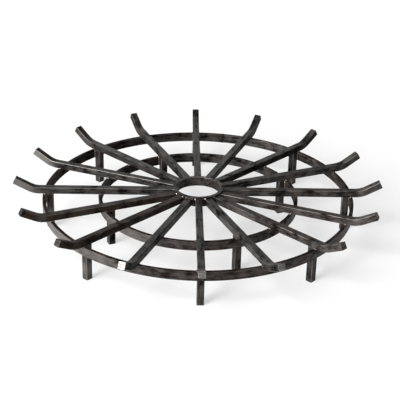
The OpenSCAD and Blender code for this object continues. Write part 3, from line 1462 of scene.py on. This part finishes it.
def light_paths(tree: Tree) -> Node:
    """Tells the rays that show a surface from those that only carry light.

    Args:
        tree: the node tree that gets the nodes.

    Returns:
        Node that gives 1 for camera, glossy and transmission rays, and 0 for the others.
    """
    path = add(tree, "LightPath").outputs
    seen = path["Is Camera Ray"]
    for ray in ("Is Glossy Ray", "Is Transmission Ray"):
        seen = add(tree, "Math", MAXIMUM, i0=seen, i1=path[ray])
    return seen


@dataclass(frozen=True)
class Studio:
    """Plain white floor, soft lamps, and the camera at the photograph's view."""

    azimuth: float = -1.7258  # degrees, as are the next two
    elevation: float = 26.77
    roll: float = 1.4632
    aside: float = -0.00734  # metres, as are the next two
    above: float = -0.0748
    distance: float = 3.36433
    focal: float = 1201.6  # pixels
    picture: int = 400  # pixels wide
    film: float = 36.0  # mm wide
    sight: float = 60.0  # metres
    floor_size: float = 24.0  # metres
    floor_shown: str = "#aaaaaa"
    floor_glow: float = 0.58
    floor_bounce: str = "#a0a0a0"
    sky_level: float = 0.40
    sky_zenith: str = "#303030"
    sky_fade: Range = (0.45, 0.9)
    dark_way: Place = (0.9, 0.436, 0.0)  # behind the grate and to its right
    dark_side: Range = (0.42, 0.6)
    pale_rim: Range = (0.1, 0.24)
    lamps: tuple[SoftLamp, ...] = (
        SoftLamp("window", -43.0, 19.0, 21.0, 0.75),
        SoftLamp("key", -50.0, 46.0, 28.0, 0.70),
        SoftLamp("side", -66.0, 16.0, 50.0, 0.90),
    )

    def _camera(self) -> None:
        """Places the camera, whose offsets are those of the grate's origin in its own frame."""
        back = direction(self.azimuth, self.elevation)
        roll = math.radians(self.roll)
        axes = np.array(looking_along(np.zeros(3), back, roll))[:3, :3]
        place = axes @ np.array([-self.aside, -self.above, self.distance])
        data = bpy.data.cameras.new("photo_view")
        data.sensor_width = self.film
        data.lens = self.focal * self.film / self.picture
        data.clip_end = self.sight
        camera = placed("photo_view", data)
        camera.matrix_world = looking_along(place, back, roll)
        bpy.context.scene.camera = camera

    def _floor(self) -> None:
        """Lays the floor: a square sheet of matt white paper.

        To the rays that show it, it is part diffuse and part glow, which add up to white in
        the open and leave a pale shadow. To the rays that carry light it is a light grey.
        """
        half = self.floor_size / 2
        corners = np.array([[-1, -1, 0], [1, -1, 0], [1, 1, 0], [-1, 1, 0]]) * half
        mesh = bpy.data.meshes.new("floor")
        mesh.from_pydata(corners.tolist(), [], [(0, 1, 2, 3)])
        material, tree = blank_material("matt_white_paper")
        paper = add(tree, "BsdfDiffuse", Color=srgb(self.floor_shown))
        shine = add(tree, "Emission", Color=srgb(WHITE), Strength=self.floor_glow)
        shown = add(tree, "AddShader", i0=paper, i1=shine)
        bounce = add(tree, "BsdfDiffuse", Color=srgb(self.floor_bounce))
        both = add(tree, "MixShader", Fac=light_paths(tree), i1=bounce, i2=shown)
        add(tree, "OutputMaterial", Surface=both)
        mesh.materials.append(material)
        floor = placed("floor", mesh)
        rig.stage(floor)

    def _sky(self) -> None:
        """Sets the world: white round the horizon, dim overhead and at the back on the right.

        Its full strength shows behind the grate and in its reflections, and less of it lights
        the grate.
        """
        world = bpy.data.worlds.new("studio")
        world.use_nodes = True
        tree = world.node_tree
        tree.nodes.clear()
        ray = add(tree, "TexCoord").outputs["Generated"]
        height = add(tree, "SeparateXYZ", Vector=ray).outputs["Z"]
        across = add(tree, "VectorMath", DOT_PRODUCT, i0=ray, i1=self.dark_way).outputs["Value"]
        overhead, right, above = (
            add(tree, "MapRange", SMOOTH_RANGE, Value=value, From_Min=low, From_Max=high)
            for value, (low, high) in (
                (height, self.sky_fade),
                (across, self.dark_side),
                (height, self.pale_rim),
            )
        )
        beside = add(tree, "Math", MULTIPLY, i0=right, i1=above)
        dim = add(tree, "Math", MAXIMUM, i0=overhead, i1=beside)
        pale, dark = srgb(WHITE), srgb(self.sky_zenith)
        colour = add(tree, "Mix", MIX_COLOUR, Factor=dim, i6=pale, i7=dark).outputs[2]
        light = add(tree, "Background", Color=colour, Strength=self.sky_level)
        shown = add(tree, "Background", Color=colour, Strength=1.0)
        both = add(tree, "MixShader", Fac=light_paths(tree), i1=light, i2=shown)
        add(tree, "OutputWorld", Surface=both)
        bpy.context.scene.world = world

    def build(self) -> None:
        """Sets up the studio."""
        self._camera()
        self._floor()
        self._sky()
        for lamp in self.lamps:
            lamp.build()
        bpy.context.scene.view_settings.view_transform = "Standard"
        log.info("studio: %d lamps", len(self.lamps))


def box_as_lists() -> list[list[float]]:
    """The shown object's lowest and highest corner as plain lists."""
    return [list(corner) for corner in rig.bounds()]


def main() -> None:
    """Builds the grate and the studio, and writes the sizes."""
    cad_box = box_as_lists()
    layout = Layout()
    bar = HotRolledSteel("hot_rolled_square_bar").material()
    strap = HotRolledSteel("hot_rolled_flat_bar", skin="#0e0c0b", worn_skin="#312b28").material()
    tube = HotRolledSteel("hot_rolled_tube", skin="#100e0d").material()
    cut = SawnSteel("sawn_mild_steel").material()
    bead = WeldMetal("wire_weld_bead").material()
    Spokes(layout, bar, cut).build()
    HubRing(layout, tube).build()
    Hoop(layout, HoopName.OUTER, seam_bay=8, worn_lit_bay=14.2, skin=strap, bead=bead).build()
    Hoop(layout, HoopName.INNER, seam_bay=6, worn_lit_bay=14.6, skin=strap, bead=bead).build()
    for hoop in HoopName:
        Legs(layout, bar, cut, hoop).build()
    FilletWelds(layout, bead).build()
    Studio().build()
    with open(SIZE_FILE, "w") as out:
        json.dump({"cad": cad_box, "visual": box_as_lists()}, out)


if __name__ == "__main__":
    logging.basicConfig(level=logging.INFO, format="%(name)s: %(message)s")
    main()
